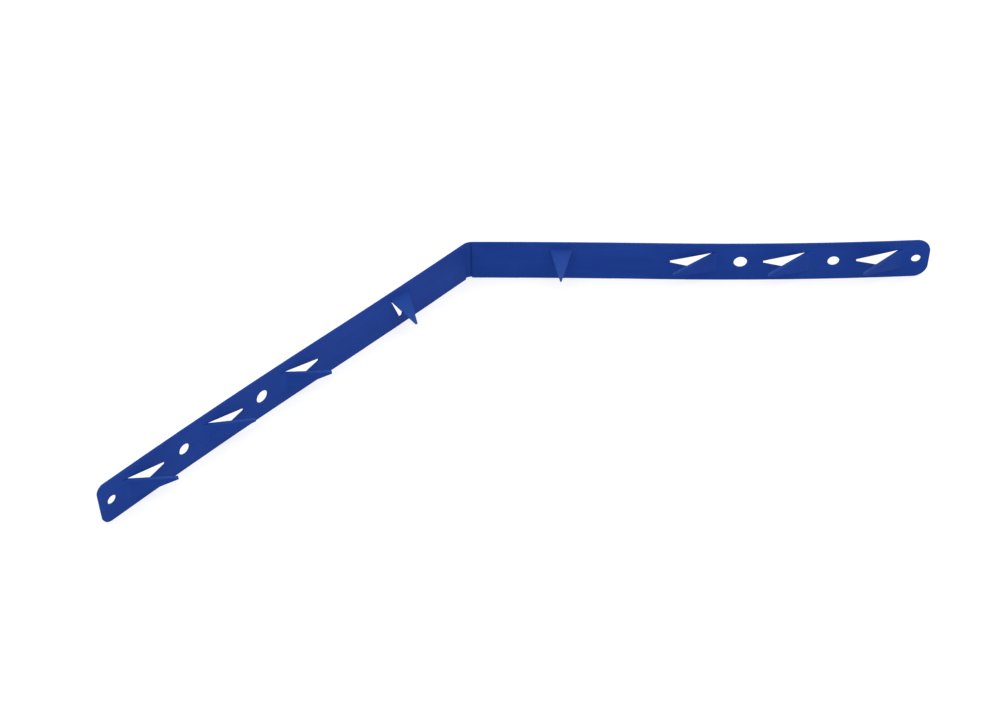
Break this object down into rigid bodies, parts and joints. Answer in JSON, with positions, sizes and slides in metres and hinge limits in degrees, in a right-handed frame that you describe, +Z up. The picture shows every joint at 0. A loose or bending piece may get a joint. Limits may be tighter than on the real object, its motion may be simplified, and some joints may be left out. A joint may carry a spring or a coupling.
{
  "type": "sock aid",
  "caption": "One-piece moulded plastic sock aid: a folded strip on edge with bent-out triangular grip tangs, cuff hooks and round holes along both arms.",
  "frame": {"origin": "centre of the footprint, on the surface that the strip stands on", "axes": "+Z up, the strip standing on its long edge; +Y towards the fold and the backs of the arms; +X along the spread of the arms, the right arm on +X; hooks and tangs on the -Y side"},
  "size_m": [0.751, 0.1662, 0.04],
  "materials": {
    "strip_plastic": "satin moulded polypropylene, royal blue"
  },
  "bodies": {
    "right_arm": {"right_arm": "strip_plastic", "fold_web": "strip_plastic", "right_grip_tang_1_root": "strip_plastic", "right_grip_tang_2_root": "strip_plastic", "right_grip_tang_3_root": "strip_plastic", "right_cuff_hook_root": "strip_plastic"},
    "left_arm": {"left_arm": "strip_plastic", "left_grip_tang_1_root": "strip_plastic", "left_grip_tang_2_root": "strip_plastic", "left_grip_tang_3_root": "strip_plastic", "left_cuff_hook_root": "strip_plastic"},
    "left_grip_tang_1": {"left_grip_tang_1": "strip_plastic"},
    "left_grip_tang_2": {"left_grip_tang_2": "strip_plastic"},
    "left_grip_tang_3": {"left_grip_tang_3": "strip_plastic"},
    "left_cuff_hook": {"left_cuff_hook": "strip_plastic"},
    "right_grip_tang_1": {"right_grip_tang_1": "strip_plastic"},
    "right_grip_tang_2": {"right_grip_tang_2": "strip_plastic"},
    "right_grip_tang_3": {"right_grip_tang_3": "strip_plastic"},
    "right_cuff_hook": {"right_cuff_hook": "strip_plastic"}
  },
  "joints": [
    {"name": "centre_fold", "type": "hinge", "parent": "right_arm", "child": "left_arm", "pos_m": [0, 0.08199, 0.02], "axis": [0, 0, 1], "range_deg": [-48.4, 95], "stiffness_Nm_per_rad": 0.1, "deforming": ["fold_web"]},
    {"name": "left_grip_tang_1_flex", "type": "hinge", "parent": "left_arm", "child": "left_grip_tang_1", "pos_m": [-0.20058, -0.00351, 0.02], "axis": [0, 0, -1], "range_deg": [-18, 5], "stiffness_Nm_per_rad": 0.93, "deforming": ["left_grip_tang_1_root"]},
    {"name": "left_grip_tang_2_flex", "type": "hinge", "parent": "left_arm", "child": "left_grip_tang_2", "pos_m": [-0.27667, -0.03683, 0.02], "axis": [0, 0, -1], "range_deg": [-18, 5], "stiffness_Nm_per_rad": 0.93, "deforming": ["left_grip_tang_2_root"]},
    {"name": "left_grip_tang_3_flex", "type": "hinge", "parent": "left_arm", "child": "left_grip_tang_3", "pos_m": [-0.351, -0.07088, 0.02], "axis": [0, 0, -1], "range_deg": [-18, 5], "stiffness_Nm_per_rad": 0.93, "deforming": ["left_grip_tang_3_root"]},
    {"name": "left_cuff_hook_flex", "type": "hinge", "parent": "left_arm", "child": "left_cuff_hook", "pos_m": [-0.07803, 0.04841, 0.03246], "axis": [-0.9177, -0.3974, 0], "range_deg": [-25, 5], "stiffness_Nm_per_rad": 1.24, "deforming": ["left_cuff_hook_root"]},
    {"name": "right_grip_tang_1_flex", "type": "hinge", "parent": "right_arm", "child": "right_grip_tang_1", "pos_m": [0.19853, -0.00915, 0.02], "axis": [0, 0, 1], "range_deg": [-18, 5], "stiffness_Nm_per_rad": 0.93, "deforming": ["right_grip_tang_1_root"]},
    {"name": "right_grip_tang_2_flex", "type": "hinge", "parent": "right_arm", "child": "right_grip_tang_2", "pos_m": [0.27402, -0.04205, 0.02], "axis": [0, 0, 1], "range_deg": [-18, 5], "stiffness_Nm_per_rad": 0.93, "deforming": ["right_grip_tang_2_root"]},
    {"name": "right_grip_tang_3_flex", "type": "hinge", "parent": "right_arm", "child": "right_grip_tang_3", "pos_m": [0.35049, -0.07259, 0.02], "axis": [0, 0, 1], "range_deg": [-18, 5], "stiffness_Nm_per_rad": 0.93, "deforming": ["right_grip_tang_3_root"]},
    {"name": "right_cuff_hook_flex", "type": "hinge", "parent": "right_arm", "child": "right_cuff_hook", "pos_m": [0.07571, 0.04836, 0.0323], "axis": [-0.9076, 0.4198, 0], "range_deg": [-25, 5], "stiffness_Nm_per_rad": 1.24, "deforming": ["right_cuff_hook_root"]}
  ]
}
